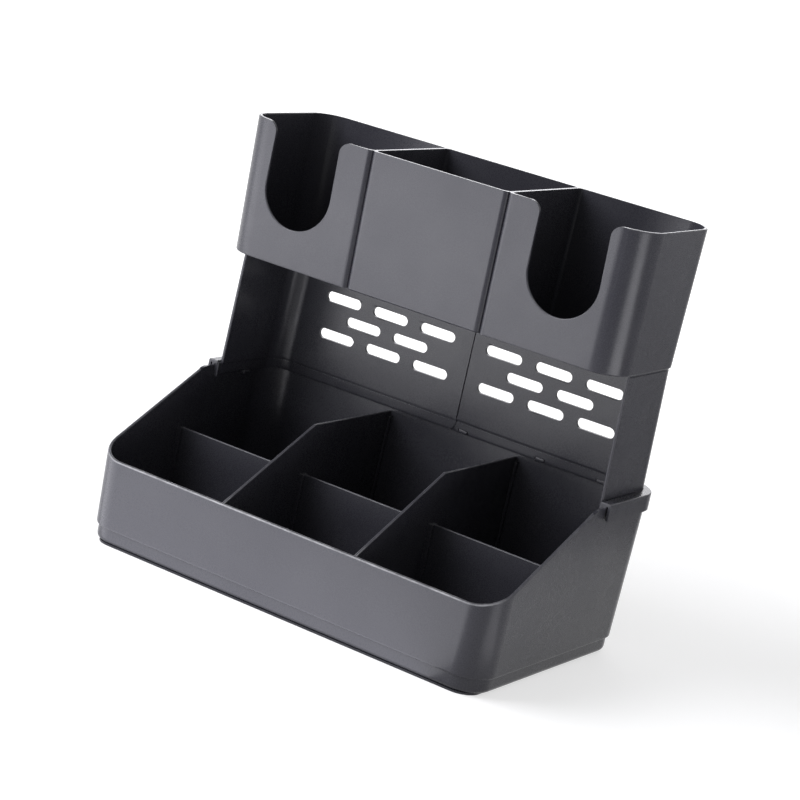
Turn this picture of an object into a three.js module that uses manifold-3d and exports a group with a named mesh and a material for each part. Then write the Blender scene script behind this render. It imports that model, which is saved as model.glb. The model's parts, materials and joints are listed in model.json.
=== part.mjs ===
import * as THREE from "three";
import { mergeVertices } from "three/addons/utils/BufferGeometryUtils.js";
import Module from "manifold-3d";

// Countertop drinks caddy: a six-cell tray, a two-part back and a three-cell cup bin on top.
// Millimetres. X points right, Y to the back, Z up. The origin is under the middle of the tray.

// Mouldings in general
const WALL = 2; // thickness of the tray's and the bin's walls
const FIT_GAP = 0.3; // clearance between pieces that plug together
const SINK = 0.1; // how far a rib or foot is sunk into the wall that carries it
const ARC_STEPS = 10; // straight pieces in a rounded corner
const CUP_SLOT_STEPS = 28; // straight pieces in the round end of a cup slot
const SKIRT_STEPS = 4; // straight pieces in the rounding of the tray's lower edge
const SQUARE = [0, 0, 0, 0]; // corner radii of a plain rectangle
const BEYOND = 40; // how far a cutting solid runs past the piece it cuts
const OVERCUT = 1; // how far a cut runs past a face that it opens

// Tray, measured outside and just above the step near its foot
const TRAY_HALF_WIDTH = 150.2;
const TRAY_FRONT = -93.9;
const TRAY_BACK = 89.9;
const TRAY_FRONT_RADIUS = 20;
const TRAY_BACK_RADIUS = 20.5;
const TRAY_DRAFT = 0.026; // outward lean of the walls, per mm of height
const TRAY_FLOOR = 2.2;
const STEP_HEIGHT = 10.9;
const STEP_INSET = 1.8;
const SKIRT_ROUND = 3.5; // rounding of the lower edge
const FOOT_HEIGHT = 1.2;
const FOOT_WIDTH = 5;
const FOOT_INSET_FRONT = 1.2; // behind the front of the skirt above it
const FOOT_INSET_SIDE = 4.4;
const FOOT_RADIUS = 13;
const FRONT_RIM = 56.2; // height of the front wall
const SIDE_RIM = 106; // height of the side walls behind the slope
const SLOPE_END = 9; // where the sloping side rim becomes level
const SLOPE_ROUND = 8;

// Collar, a turned-down ledge round the tray's rear half
const COLLAR_FRONT = 19.8;
const COLLAR_RISE = 3.5; // its top, above the side rim
const COLLAR_OVERHANG = 2.7; // beyond the tray's wall
const COLLAR_RADIUS = 25; // of its outside, at the back
const COLLAR_DROP = 11; // height of the turned-down lip
const COLLAR_LIP = 1.6; // thickness of the turned-down lip
const LEDGE = 2;

// Back panels, measured outside and level with the collar's top
const PANEL_HEIGHT = 80.2; // from the collar's top to the bin's lower edge
const PANEL_SIDE_INSET = 4.5; // from the tray's wall
const PANEL_BACK_INSET = 2.9;
const PANEL_SETBACK = 3; // front edge of the side wings, behind the collar's front end
const PANEL_RADIUS = 15;
const PANEL_WALL = 2.2;
const PANEL_SIDE_DRAFT = -0.0212;
const PANEL_BACK_DRAFT = 0.006;
const TONGUE_DROP = 8.8; // how far the panels reach down inside the tray
const TONGUE_STEP = 1.5; // from the collar's top down to the tongue's step
const TONGUE_RELIEF = 0.8; // the tongue is this much thinner on its inner side
const SHADOW_GAP = 0.9; // height of the fine groove over the tongues' inner side
const SHADOW_GAP_DEPTH = 0.35;
const TONGUE_CORNER = 6; // rounded lower corner beside the seam
const PLUG_RISE = 3.2; // how far the panels reach up into the bin
const SEAM_X = 2;
const SEAM_LAP = 5;
const SEAM_LAYER = 1.5; // thickness of the overlapping front layer
const SEAM_GAP = 0.3;
const SNAP_LENGTH = 10;
const SNAP_HEIGHT = 2.8;
const SNAP_REACH = 1.4;
const SNAP_SETBACKS = [23, 41]; // middles, behind the wing's front edge

// See-through slots in the back panels
const SLOT_LENGTH = 28;
const SLOT_HEIGHT = 7;
const SLOT_PITCH = 38;
const SLOT_ROW_PITCH = 13;
const SLOT_LIFT = 38.2; // middle row, above the collar's top
const SLOT_FIRST_X = 26;

// Cup bin, measured outside and at its lower edge
const BIN_HEIGHT = 91.5;
const BIN_OVERHANG = 1.5; // beyond the panels that carry it
const BIN_FRONT = -0.5;
const BIN_FRONT_RADIUS = 20;
const BIN_BACK_RADIUS = 18;
const BIN_DRAFT = 0.0225;
const BIN_SOCKET = 4; // depth of the hollow under the floor
const BIN_FLOOR = 2.2;
const BIN_DIVIDER_X = 50.2;
const BIN_DIVIDER = 2;
const BIN_DIVIDER_FRONT_RADIUS = 4.5;
const BIN_DIVIDER_BACK_RADIUS = 2.5;
const GROOVE_HALF_WIDTH = 3.8;
const GROOVE_DEPTH = 2.4;
const CUP_SLOT_WIDTH = 50.4;
const CUP_SLOT_LIFT = 25.4; // lowest point, above the bin's lower edge
const CUP_SLOT_MOUTH_RADIUS = 7.5;
const KEY_X = 80; // ribs under the floor that keep the bin from sliding back
const KEY_LENGTH = 24;
const KEY_WALL = 2;
const KEY_DROP = 4.4;

// Dividers of the tray and the ribs that hold them
const DIVIDER = 2;
const SLIDE_GAP = 0.3;
const GUIDE_WALL = 1.6;
const GUIDE_REACH = 3;
const LONG_DIVIDER_X = 50;
const LONG_DIVIDER_PEAK_Y = -2.8;
const LONG_DIVIDER_PLAY = 2.2; // under the panels' tongues
const CROSS_DIVIDER_Y = -7.5;
const CROSS_DIVIDER_TOP = 66.2;

// Small blocks on the tray's walls that carry the panels' tongues
const REST_WIDTH = 7;
const REST_HEIGHT = 2.6;
const REST_BACK_X = [8.5, 68, 114];
const REST_PROUD = 0.4; // the right half's blocks stand out of its tongue
const REST_SKIN = 0.6; // thickness of the left half's tongue in front of its blocks
const REST_SETBACK = 32; // middle of the side block, behind the wing's front edge
const STOP_WIDTH = 2.2; // rib in front of each wing's tongue
const STOP_RELIEF = 1.3; // the rib stands this far back from the tongue's inner side

const wasm = await Module();
wasm.setup();

const plastic = new THREE.MeshStandardMaterial({ color: 0x3b3b3e, roughness: 0.42, metalness: 0 });

// Points of an arc about (x, y), angles in degrees. A radius of zero gives the one corner point.
function arc(x, y, radius, from, to, steps = ARC_STEPS) {
  if (radius === 0) {
    return [new THREE.Vector2(x, y)];
  }
  const curve = new THREE.EllipseCurve(
    x, y, radius, radius, THREE.MathUtils.degToRad(from), THREE.MathUtils.degToRad(to), to < from);
  return curve.getPoints(steps);
}

// Anticlockwise rectangle with rounded corners. The radii are front left, front right, back right
// and back left. Points in frontEdge are put between the two front corners.
function rectangle(left, right, front, back, radii, frontEdge = []) {
  const [fl, fr, br, bl] = radii;
  return [
    ...arc(left + fl, front + fl, fl, 180, 270),
    ...frontEdge,
    ...arc(right - fr, front + fr, fr, 270, 360),
    ...arc(right - br, back - br, br, 0, 90),
    ...arc(left + bl, back - bl, bl, 90, 180),
  ];
}

// The same rectangle, the same on both sides of the middle.
function plan(halfWidth, front, back, frontRadius, backRadius, frontEdge = []) {
  const radii = [frontRadius, frontRadius, backRadius, backRadius];
  return rectangle(-halfWidth, halfWidth, front, back, radii, frontEdge);
}

// Drafted walls: an outline drawn at height `base` grows or shrinks by the draft as it rises.
// sideways and endways give the place at height z of a point drawn at the base.
function drafted({ base, halfWidth, halfDepth, middle, sideDraft, endDraft }) {
  return {
    sideways: (x, z) => x * (1 + (sideDraft * (z - base)) / halfWidth),
    endways: (y, z) => middle + (y - middle) * (1 + (endDraft * (z - base)) / halfDepth),
  };
}

function upright(outline, bottom, top) {
  const geometry = new THREE.ExtrudeGeometry(new THREE.Shape(outline), {
    depth: top - bottom,
    bevelEnabled: false,
  });
  return geometry.translate(0, 0, bottom);
}

// Moves each vertex to where the draft puts it at its height.
function lean(geometry, draft, { sideways = true, endways = true } = {}) {
  const position = geometry.attributes.position;
  for (let i = 0; i < position.count; i += 1) {
    const z = position.getZ(i);
    if (sideways) {
      position.setX(i, draft.sideways(position.getX(i), z));
    }
    if (endways) {
      position.setY(i, draft.endways(position.getY(i), z));
    }
  }
  return geometry;
}

// A profile drawn in Y and Z, extruded along X from `left` to `right`.
function alongX(profile, left, right) {
  const geometry = new THREE.ExtrudeGeometry(new THREE.Shape(profile), {
    depth: right - left,
    bevelEnabled: false,
  });
  const turn = new THREE.Matrix4().makeBasis(
    new THREE.Vector3(0, 1, 0), new THREE.Vector3(0, 0, 1), new THREE.Vector3(1, 0, 0));
  return geometry.applyMatrix4(turn).translate(left, 0, 0);
}

// A profile drawn in X and Z, extruded along Y from `front` to `back`.
function alongY(profile, front, back) {
  const geometry = new THREE.ExtrudeGeometry(new THREE.Shape(profile), {
    depth: back - front,
    bevelEnabled: false,
  });
  const turn = new THREE.Matrix4().makeBasis(
    new THREE.Vector3(1, 0, 0), new THREE.Vector3(0, 0, 1), new THREE.Vector3(0, -1, 0));
  return geometry.applyMatrix4(turn).translate(0, back, 0);
}

function box(left, right, front, back, bottom, top) {
  const geometry = new THREE.BoxGeometry(right - left, back - front, top - bottom);
  return geometry.translate((left + right) / 2, (front + back) / 2, (bottom + top) / 2);
}

function solid(geometry) {
  geometry.deleteAttribute("normal");
  geometry.deleteAttribute("uv");
  const merged = mergeVertices(geometry, 1e-5);
  const vertProperties = new Float32Array(merged.attributes.position.array);
  const triVerts = new Uint32Array(merged.index.array);
  return new wasm.Manifold(new wasm.Mesh({ numProp: 3, vertProperties, triVerts }));
}

function joined(first, ...others) {
  return others.reduce((sum, next) => sum.add(next), first);
}

function part(name, body, material) {
  const { vertProperties, triVerts } = body.getMesh();
  const geometry = new THREE.BufferGeometry();
  geometry.setAttribute("position", new THREE.BufferAttribute(vertProperties, 3));
  geometry.setIndex(new THREE.BufferAttribute(triVerts, 1));
  geometry.computeVertexNormals();
  const mesh = new THREE.Mesh(geometry, material);
  mesh.name = name;
  return mesh;
}

const mirrored = (body) => body.mirror([1, 0, 0]);

const trayDraft = drafted({
  base: STEP_HEIGHT,
  halfWidth: TRAY_HALF_WIDTH,
  halfDepth: (TRAY_BACK - TRAY_FRONT) / 2,
  middle: (TRAY_BACK + TRAY_FRONT) / 2,
  sideDraft: TRAY_DRAFT,
  endDraft: TRAY_DRAFT,
});

const FLOOR_TOP = FOOT_HEIGHT + TRAY_FLOOR;
const INNER_STEP = STEP_HEIGHT + WALL; // height of the step on the tray's inside
const TRAY_INNER_HALF = TRAY_HALF_WIDTH - WALL;
const TRAY_INNER_FRONT = TRAY_FRONT + WALL;
const TRAY_INNER_BACK = TRAY_BACK - WALL;
const COLLAR_TOP = SIDE_RIM + COLLAR_RISE;
const COLLAR_HALF_WIDTH = trayDraft.sideways(TRAY_HALF_WIDTH, COLLAR_TOP) + COLLAR_OVERHANG;
const COLLAR_BACK = trayDraft.endways(TRAY_BACK, COLLAR_TOP) + COLLAR_OVERHANG;
const LEDGE_BOTTOM = COLLAR_TOP - LEDGE;
const PANEL_HALF_WIDTH = trayDraft.sideways(TRAY_HALF_WIDTH, COLLAR_TOP) - PANEL_SIDE_INSET;
const PANEL_FRONT = COLLAR_FRONT + PANEL_SETBACK;
const PANEL_BACK = trayDraft.endways(TRAY_BACK, COLLAR_TOP) - PANEL_BACK_INSET;
const TONGUE_BOTTOM = COLLAR_TOP - TONGUE_DROP;
const TONGUE_INNER_BACK = PANEL_BACK - PANEL_WALL + TONGUE_RELIEF;
const REST_FRONT = TONGUE_INNER_BACK - REST_PROUD;
const REST_LEFT_FRONT = TONGUE_INNER_BACK + REST_SKIN + FIT_GAP;
const LONG_DIVIDER_TOP = TONGUE_BOTTOM - LONG_DIVIDER_PLAY;
const SLOT_HALF = DIVIDER / 2 + SLIDE_GAP; // half width of a divider's guide slot

const panelDraft = drafted({
  base: COLLAR_TOP,
  halfWidth: PANEL_HALF_WIDTH,
  halfDepth: PANEL_BACK - PANEL_FRONT,
  middle: PANEL_FRONT,
  sideDraft: PANEL_SIDE_DRAFT,
  endDraft: PANEL_BACK_DRAFT,
});

const BIN_BOTTOM = COLLAR_TOP + PANEL_HEIGHT;
const BIN_RIM = BIN_BOTTOM + BIN_HEIGHT;
const BIN_HALF_WIDTH = panelDraft.sideways(PANEL_HALF_WIDTH, BIN_BOTTOM) + BIN_OVERHANG;
const BIN_BACK = panelDraft.endways(PANEL_BACK, BIN_BOTTOM) + BIN_OVERHANG;

const binDraft = drafted({
  base: BIN_BOTTOM,
  halfWidth: BIN_HALF_WIDTH,
  halfDepth: (BIN_BACK - BIN_FRONT) / 2,
  middle: (BIN_BACK + BIN_FRONT) / 2,
  sideDraft: BIN_DRAFT,
  endDraft: BIN_DRAFT,
});

// Outline of the tray's wall, moved in by `inset`, at the step.
function trayOutline(inset) {
  return plan(
    TRAY_HALF_WIDTH - inset, TRAY_FRONT + inset, TRAY_BACK - inset,
    TRAY_FRONT_RADIUS - inset, TRAY_BACK_RADIUS - inset);
}

// Outline of the panels' shell, moved in by `inset`, at the collar's top.
function panelOutline(inset, front) {
  return plan(PANEL_HALF_WIDTH - inset, front, PANEL_BACK - inset, 0, PANEL_RADIUS - inset);
}

// The skirt under the step, with its lower edge rounded.
function traySkirt() {
  const outline = new THREE.Shape(trayOutline(STEP_INSET));
  const geometry = new THREE.ExtrudeGeometry(outline, {
    depth: STEP_HEIGHT - FOOT_HEIGHT - SKIRT_ROUND,
    bevelEnabled: true,
    bevelThickness: SKIRT_ROUND,
    bevelSize: SKIRT_ROUND,
    bevelOffset: -SKIRT_ROUND,
    bevelSegments: SKIRT_STEPS,
  });
  return solid(geometry.translate(0, 0, FOOT_HEIGHT + SKIRT_ROUND));
}

function trayFoot() {
  const halfWidth = TRAY_HALF_WIDTH - STEP_INSET - FOOT_INSET_SIDE;
  const front = TRAY_FRONT + STEP_INSET + FOOT_INSET_FRONT;
  const back = TRAY_BACK - STEP_INSET - FOOT_INSET_FRONT;
  const outline = (inset) => plan(
    halfWidth - inset, front + inset, back - inset, FOOT_RADIUS - inset, FOOT_RADIUS - inset);
  const outside = solid(upright(outline(0), 0, FOOT_HEIGHT + SINK));
  const inside = solid(upright(outline(FOOT_WIDTH), -BEYOND, FOOT_HEIGHT));
  return outside.subtract(inside);
}

// Everything over the rim: level in front, sloping up the sides, level again to the collar.
function aboveRim() {
  const front = trayDraft.endways(TRAY_FRONT, FRONT_RIM);
  const slope = new THREE.Vector2(SLOPE_END - front, SIDE_RIM - FRONT_RIM).normalize();
  const corner = new THREE.Vector2(SLOPE_END, SIDE_RIM);
  const before = corner.clone().addScaledVector(slope, -SLOPE_ROUND / 2);
  const after = new THREE.Vector2(SLOPE_END + SLOPE_ROUND / 2, SIDE_RIM);
  const bend = new THREE.QuadraticBezierCurve(before, corner, after).getPoints(ARC_STEPS);
  const profile = [
    new THREE.Vector2(front - BEYOND, FRONT_RIM),
    new THREE.Vector2(front, FRONT_RIM),
    ...bend,
    new THREE.Vector2(COLLAR_FRONT, SIDE_RIM),
    new THREE.Vector2(COLLAR_FRONT, COLLAR_TOP + BEYOND),
    new THREE.Vector2(front - BEYOND, COLLAR_TOP + BEYOND),
  ];
  const reach = COLLAR_HALF_WIDTH + BEYOND;
  return solid(alongX(profile, -reach, reach));
}

function trayCollar() {
  const outside = plan(COLLAR_HALF_WIDTH, COLLAR_FRONT, COLLAR_BACK, 0, COLLAR_RADIUS);
  const channel = plan(
    COLLAR_HALF_WIDTH - COLLAR_LIP, COLLAR_FRONT - BEYOND, COLLAR_BACK - COLLAR_LIP,
    0, COLLAR_RADIUS - COLLAR_LIP);
  const opening = panelOutline(-FIT_GAP, COLLAR_FRONT - BEYOND);
  return solid(upright(outside, COLLAR_TOP - COLLAR_DROP, COLLAR_TOP))
    .subtract(solid(upright(channel, COLLAR_TOP - COLLAR_DROP - BEYOND, LEDGE_BOTTOM)))
    .subtract(solid(upright(opening, LEDGE_BOTTOM - OVERCUT, COLLAR_TOP + OVERCUT)));
}

// Pairs of ribs that hold the long dividers at the front and back walls.
function longDividerGuides(x) {
  const ribs = [];
  for (const side of [-1, 1]) {
    const near = x + side * SLOT_HALF;
    const far = x + side * (SLOT_HALF + GUIDE_WALL);
    const left = Math.min(near, far);
    const right = Math.max(near, far);
    const front = rectangle(
      left, right, TRAY_INNER_FRONT - SINK, TRAY_INNER_FRONT + GUIDE_REACH, SQUARE);
    const back = rectangle(
      left, right, TRAY_INNER_BACK - GUIDE_REACH, TRAY_INNER_BACK + SINK, SQUARE);
    const ways = { sideways: false };
    ribs.push(solid(lean(upright(front, FLOOR_TOP, FRONT_RIM - GUIDE_REACH), trayDraft, ways)));
    ribs.push(solid(lean(upright(back, FLOOR_TOP, LONG_DIVIDER_TOP - GUIDE_REACH), trayDraft, ways)));
  }
  return joined(...ribs);
}

// Pair of ribs that holds a cross divider at the right-hand side wall.
function crossDividerGuides() {
  const ribs = [-1, 1].map((side) => {
    const near = CROSS_DIVIDER_Y + side * SLOT_HALF;
    const far = CROSS_DIVIDER_Y + side * (SLOT_HALF + GUIDE_WALL);
    const outline = rectangle(
      TRAY_INNER_HALF - GUIDE_REACH, TRAY_INNER_HALF + SINK,
      Math.min(near, far), Math.max(near, far), SQUARE);
    return solid(lean(upright(outline, FLOOR_TOP, CROSS_DIVIDER_TOP), trayDraft, { endways: false }));
  });
  return joined(...ribs);
}

// Blocks that carry the tongues on the right-hand half, and the stop in front of the wing's tongue.
// The blocks on the back wall reach from the wall to `front` and stand in notches of the tongue.
function panelRests(front) {
  const half = REST_WIDTH / 2;
  const outerBack = trayDraft.endways(TRAY_INNER_BACK, TONGUE_BOTTOM) + WALL / 2;
  const blocks = REST_BACK_X.map(
    (x) => solid(box(x - half, x + half, front, outerBack, TONGUE_BOTTOM, TONGUE_BOTTOM + REST_HEIGHT)));
  const bottom = TONGUE_BOTTOM - REST_HEIGHT;
  const inner = PANEL_HALF_WIDTH - PANEL_WALL;
  const outer = trayDraft.sideways(TRAY_INNER_HALF, TONGUE_BOTTOM) + WALL / 2;
  const stop = PANEL_FRONT - FIT_GAP;
  const side = PANEL_FRONT + REST_SETBACK;
  blocks.push(solid(box(inner, outer, side - half, side + half, bottom, TONGUE_BOTTOM)));
  blocks.push(solid(box(
    inner + STOP_RELIEF, outer, stop - STOP_WIDTH, stop, bottom, LEDGE_BOTTOM + LEDGE / 2)));
  return joined(...blocks);
}

// The notches in the right-hand half's tongue, open to the back and as far in as `front`.
function restNotches(front) {
  const half = REST_WIDTH / 2 + FIT_GAP;
  return joined(...REST_BACK_X.map((x) => solid(box(
    x - half, x + half, front, PANEL_BACK + OVERCUT, TONGUE_BOTTOM - OVERCUT, TONGUE_BOTTOM + REST_HEIGHT))));
}

function baseTray() {
  const wallTop = LEDGE_BOTTOM + LEDGE / 2;
  const outside = solid(lean(upright(trayOutline(0), STEP_HEIGHT, wallTop), trayDraft)).add(traySkirt());
  const lowerHollow = solid(upright(trayOutline(STEP_INSET + WALL), FLOOR_TOP, INNER_STEP + OVERCUT));
  const upperHollow = solid(lean(upright(trayOutline(WALL), INNER_STEP, COLLAR_TOP + BEYOND), trayDraft));
  const shell = outside.subtract(lowerHollow).subtract(upperHollow);
  const sideGuides = crossDividerGuides();
  const fittings = joined(
    longDividerGuides(LONG_DIVIDER_X), longDividerGuides(-LONG_DIVIDER_X),
    sideGuides, mirrored(sideGuides), panelRests(REST_FRONT), mirrored(panelRests(REST_LEFT_FRONT)));
  return joined(shell, fittings, trayFoot())
    .subtract(aboveRim())
    .add(trayCollar());
}

// A plate from the front wall to the back wall, with ribs on both faces for the cross dividers.
function longDivider() {
  const frontAt = (z) => trayDraft.endways(TRAY_INNER_FRONT, z) + FIT_GAP;
  const backAt = (z) => trayDraft.endways(TRAY_INNER_BACK, z) - FIT_GAP;
  const heel = INNER_STEP + FIT_GAP;
  const profile = [
    new THREE.Vector2(TRAY_INNER_FRONT + STEP_INSET + FIT_GAP, FLOOR_TOP),
    new THREE.Vector2(TRAY_INNER_BACK - STEP_INSET - FIT_GAP, FLOOR_TOP),
    new THREE.Vector2(TRAY_INNER_BACK - STEP_INSET - FIT_GAP, heel),
    new THREE.Vector2(backAt(heel), heel),
    new THREE.Vector2(backAt(LONG_DIVIDER_TOP), LONG_DIVIDER_TOP),
    new THREE.Vector2(LONG_DIVIDER_PEAK_Y, LONG_DIVIDER_TOP),
    new THREE.Vector2(frontAt(FRONT_RIM), FRONT_RIM),
    new THREE.Vector2(frontAt(heel), heel),
    new THREE.Vector2(TRAY_INNER_FRONT + STEP_INSET + FIT_GAP, heel),
  ];
  const plate = solid(alongX(profile, -DIVIDER / 2, DIVIDER / 2));
  const reach = DIVIDER / 2 + GUIDE_REACH;
  const ribs = [-1, 1].map((side) => {
    const near = CROSS_DIVIDER_Y + side * SLOT_HALF;
    const far = CROSS_DIVIDER_Y + side * (SLOT_HALF + GUIDE_WALL);
    return solid(box(-reach, reach, Math.min(near, far), Math.max(near, far), FLOOR_TOP, CROSS_DIVIDER_TOP));
  });
  return joined(plate, ...ribs);
}

// A plate between two long dividers.
function middleCrossDivider() {
  const half = LONG_DIVIDER_X - DIVIDER / 2 - SLIDE_GAP;
  return solid(box(
    -half, half, CROSS_DIVIDER_Y - DIVIDER / 2, CROSS_DIVIDER_Y + DIVIDER / 2, FLOOR_TOP, CROSS_DIVIDER_TOP));
}

// A plate between a long divider and the right-hand side wall.
function sideCrossDivider() {
  const inner = LONG_DIVIDER_X + DIVIDER / 2 + SLIDE_GAP;
  const outerAt = (z) => trayDraft.sideways(TRAY_INNER_HALF, z) - SLIDE_GAP;
  const heel = INNER_STEP + FIT_GAP;
  const profile = [
    new THREE.Vector2(inner, FLOOR_TOP),
    new THREE.Vector2(TRAY_INNER_HALF - STEP_INSET - SLIDE_GAP, FLOOR_TOP),
    new THREE.Vector2(TRAY_INNER_HALF - STEP_INSET - SLIDE_GAP, heel),
    new THREE.Vector2(outerAt(heel), heel),
    new THREE.Vector2(outerAt(CROSS_DIVIDER_TOP), CROSS_DIVIDER_TOP),
    new THREE.Vector2(inner, CROSS_DIVIDER_TOP),
  ];
  return solid(alongY(profile, CROSS_DIVIDER_Y - DIVIDER / 2, CROSS_DIVIDER_Y + DIVIDER / 2));
}

// Round-ended slots in three staggered rows on the right-hand half of the back.
function panelSlots() {
  const round = SLOT_HEIGHT / 2;
  const slots = [];
  for (const row of [-1, 0, 1]) {
    const z = COLLAR_TOP + SLOT_LIFT + row * SLOT_ROW_PITCH;
    const count = row === 0 ? 2 : 3;
    const first = row === 0 ? SLOT_FIRST_X + SLOT_PITCH / 2 : SLOT_FIRST_X;
    for (let i = 0; i < count; i += 1) {
      const x = first + i * SLOT_PITCH;
      const profile = [
        ...arc(x + SLOT_LENGTH / 2 - round, z, round, -90, 90),
        ...arc(x - SLOT_LENGTH / 2 + round, z, round, 90, 270),
      ];
      slots.push(solid(alongY(profile, PANEL_BACK - BEYOND / 2, PANEL_BACK + BEYOND)));
    }
  }
  return joined(...slots);
}

// Wedges on the wings' tongues that catch under the ledge.
function snaps() {
  const top = LEDGE_BOTTOM - FIT_GAP;
  const inner = PANEL_HALF_WIDTH - PANEL_WALL / 2;
  const outer = PANEL_HALF_WIDTH + SNAP_REACH;
  const profile = [
    new THREE.Vector2(inner, top - SNAP_HEIGHT),
    new THREE.Vector2(PANEL_HALF_WIDTH, top - SNAP_HEIGHT),
    new THREE.Vector2(outer, top - SNAP_HEIGHT / 3),
    new THREE.Vector2(outer, top),
    new THREE.Vector2(inner, top),
  ];
  return joined(...SNAP_SETBACKS.map((setback) => {
    const front = PANEL_FRONT + setback - SNAP_LENGTH / 2;
    return solid(alongY(profile, front, front + SNAP_LENGTH));
  }));
}

// Both halves of the back in one: a shell round three sides, tongues below and above.
function panelShell() {
  const openFront = PANEL_FRONT - BEYOND;
  const tongue = solid(upright(panelOutline(0, PANEL_FRONT), TONGUE_BOTTOM, COLLAR_TOP));
  const wall = solid(lean(upright(panelOutline(0, PANEL_FRONT), COLLAR_TOP, BIN_BOTTOM), panelDraft));
  const plugInset = WALL + FIT_GAP;
  const plug = solid(upright(
    plan(BIN_HALF_WIDTH - plugInset, PANEL_FRONT, BIN_BACK - plugInset, 0, BIN_BACK_RADIUS - plugInset),
    BIN_BOTTOM - WALL, BIN_BOTTOM + PLUG_RISE));
  const tongueTop = COLLAR_TOP - TONGUE_STEP;
  const tongueHollow = solid(upright(
    panelOutline(PANEL_WALL - TONGUE_RELIEF, openFront), TONGUE_BOTTOM - OVERCUT, tongueTop));
  const shadowGap = solid(upright(
    panelOutline(PANEL_WALL - TONGUE_RELIEF - SHADOW_GAP_DEPTH, openFront), tongueTop - SHADOW_GAP, tongueTop));
  const footHollow = solid(upright(panelOutline(PANEL_WALL, openFront), TONGUE_BOTTOM, COLLAR_TOP));
  const wallHollow = solid(lean(
    upright(panelOutline(PANEL_WALL, openFront), COLLAR_TOP, BIN_BOTTOM + BEYOND), panelDraft));
  const clips = snaps();
  const slots = panelSlots();
  return joined(tongue, wall, plug)
    .subtract(joined(tongueHollow, shadowGap, footHollow, wallHollow))
    .subtract(joined(restNotches(REST_FRONT), mirrored(restNotches(REST_LEFT_FRONT - FIT_GAP))))
    .add(joined(clips, mirrored(clips)))
    .subtract(joined(slots, mirrored(slots)));
}

// Everything that belongs to one half: the front layer ends at the seam, the rear layer laps past it.
function seamSide(left) {
  const layer = PANEL_BACK - PANEL_WALL + SEAM_LAYER;
  const side = left ? -1 : 1;
  const face = SEAM_X + (side * SEAM_GAP) / 2;
  const back = SEAM_X - SEAM_LAP + (side * SEAM_GAP) / 2;
  const depth = layer + (side * SEAM_GAP) / 2;
  const far = side * (COLLAR_HALF_WIDTH + BEYOND);
  const outline = [
    new THREE.Vector2(face, PANEL_FRONT - BEYOND),
    new THREE.Vector2(far, PANEL_FRONT - BEYOND),
    new THREE.Vector2(far, PANEL_BACK + BEYOND),
    new THREE.Vector2(back, PANEL_BACK + BEYOND),
    new THREE.Vector2(back, depth),
    new THREE.Vector2(face, depth),
  ];
  const bottom = TONGUE_BOTTOM - BEYOND;
  return solid(lean(upright(outline, bottom, BIN_BOTTOM + BEYOND), panelDraft, { sideways: false }));
}

// The part of the left tongue's lower corner that is rounded away beside the seam.
function seamCorner() {
  const x = SEAM_X - SEAM_GAP / 2;
  const profile = [
    new THREE.Vector2(x + OVERCUT, TONGUE_BOTTOM - OVERCUT),
    new THREE.Vector2(x + OVERCUT, TONGUE_BOTTOM + TONGUE_CORNER),
    ...arc(x - TONGUE_CORNER, TONGUE_BOTTOM + TONGUE_CORNER, TONGUE_CORNER, 0, -90),
    new THREE.Vector2(x - TONGUE_CORNER, TONGUE_BOTTOM - OVERCUT),
  ];
  return solid(alongY(profile, PANEL_BACK - BEYOND / 2, PANEL_BACK + BEYOND));
}

// Front edge of the bin's outline with a groove in front of each divider, where two rounded corners meet.
function grooves() {
  const radius = (GROOVE_HALF_WIDTH ** 2 + GROOVE_DEPTH ** 2) / (2 * GROOVE_DEPTH);
  const turn = THREE.MathUtils.radToDeg(Math.asin(GROOVE_HALF_WIDTH / radius));
  return [-BIN_DIVIDER_X, BIN_DIVIDER_X].flatMap((x) => [
    ...arc(x - GROOVE_HALF_WIDTH, BIN_FRONT + radius, radius, -90, -90 + turn).slice(0, -1),
    ...arc(x + GROOVE_HALF_WIDTH, BIN_FRONT + radius, radius, -90 - turn, -90),
  ]);
}

// The opening in the front of the right-hand cell that lets fingers reach a cup.
function cupSlot() {
  const inner = BIN_DIVIDER_X + BIN_DIVIDER / 2;
  const outer = BIN_HALF_WIDTH - WALL;
  const x = binDraft.sideways((inner + outer) / 2, BIN_RIM);
  const half = CUP_SLOT_WIDTH / 2;
  const mouth = CUP_SLOT_MOUTH_RADIUS;
  const profile = [
    ...arc(x, BIN_BOTTOM + CUP_SLOT_LIFT + half, half, 180, 360, CUP_SLOT_STEPS),
    ...arc(x + half + mouth, BIN_RIM - mouth, mouth, 180, 90),
    new THREE.Vector2(x + half + mouth, BIN_RIM + BEYOND),
    new THREE.Vector2(x - half - mouth, BIN_RIM + BEYOND),
    ...arc(x - half - mouth, BIN_RIM - mouth, mouth, 90, 0),
  ];
  return solid(alongY(profile, BIN_FRONT - BEYOND, BIN_FRONT + BEYOND));
}

// A rib under the floor that stands just inside the panels' upper tongue.
function binKey() {
  const underside = BIN_BOTTOM + BIN_SOCKET;
  const back = panelDraft.endways(PANEL_BACK - PANEL_WALL, BIN_BOTTOM + PLUG_RISE) - FIT_GAP;
  return solid(box(
    KEY_X - KEY_LENGTH / 2, KEY_X + KEY_LENGTH / 2, back - KEY_WALL, back,
    underside - KEY_DROP, underside + SINK));
}

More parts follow.
